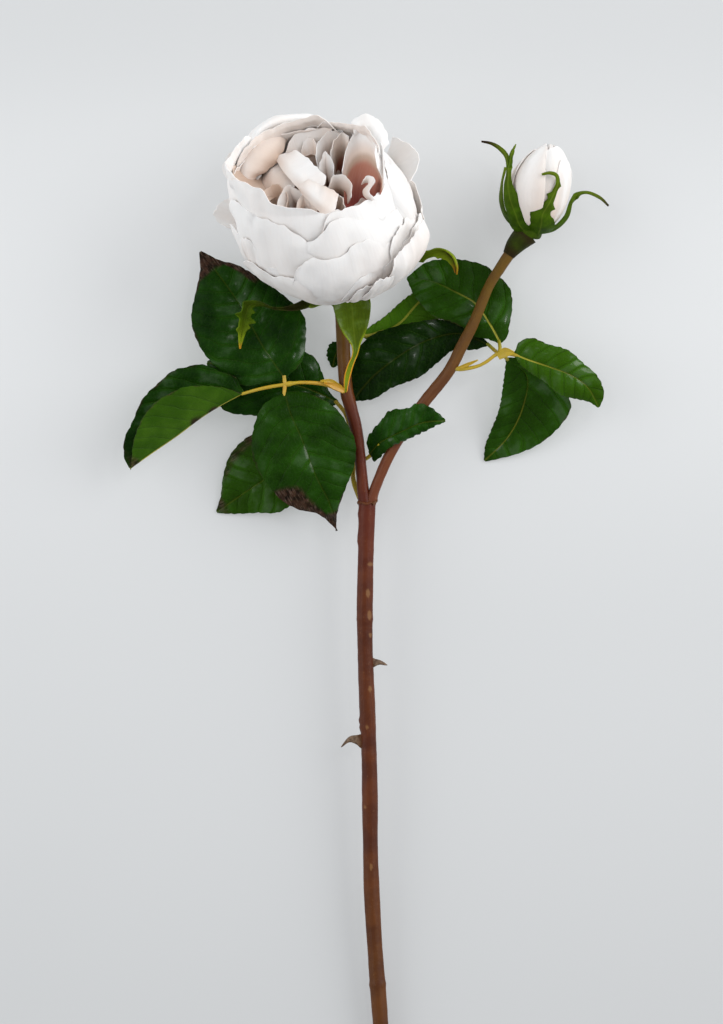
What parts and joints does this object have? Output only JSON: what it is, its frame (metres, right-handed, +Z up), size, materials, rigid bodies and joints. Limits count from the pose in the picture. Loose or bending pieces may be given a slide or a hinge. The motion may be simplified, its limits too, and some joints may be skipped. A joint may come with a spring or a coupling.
{
  "type": "cut rose",
  "caption": "Cut garden rose lying down, with an open many-petalled pale bloom, a closed bud on a side branch, toothed compound leaves and a thorny stem.",
  "frame": {"origin": "on the surface, under the middle of the rose's bounding box", "axes": "+Y runs along the stem from its cut end towards the bloom, +Z points up from the surface, +X is the side of the bud"},
  "size_m": [0.1945, 0.4197, 0.0767],
  "materials": {
    "bark": "smooth red-brown young bark, olive towards the cut end",
    "petal": "matt, softly translucent white petal with a beige and blush inside",
    "bud_petal": "matt white petal with a faint pink shade",
    "calyx": "satin green sepal, darker at its edges",
    "leaf": "glossy dark green leaf with pale veins and burgundy teeth",
    "bract": "glossy bright green"
  },
  "bodies": {
    "root": {"stem": "bark", "bloom_petals": "petal", "bloom_calyx": "calyx", "bud_petals": "bud_petal", "bud_calyx": "calyx", "leaf_left_front": "leaf", "leaf_left_back": "leaf", "leaf_right": "leaf", "leaf_upper_back": "leaf", "bract": "bract"}
  },
  "joints": []
}
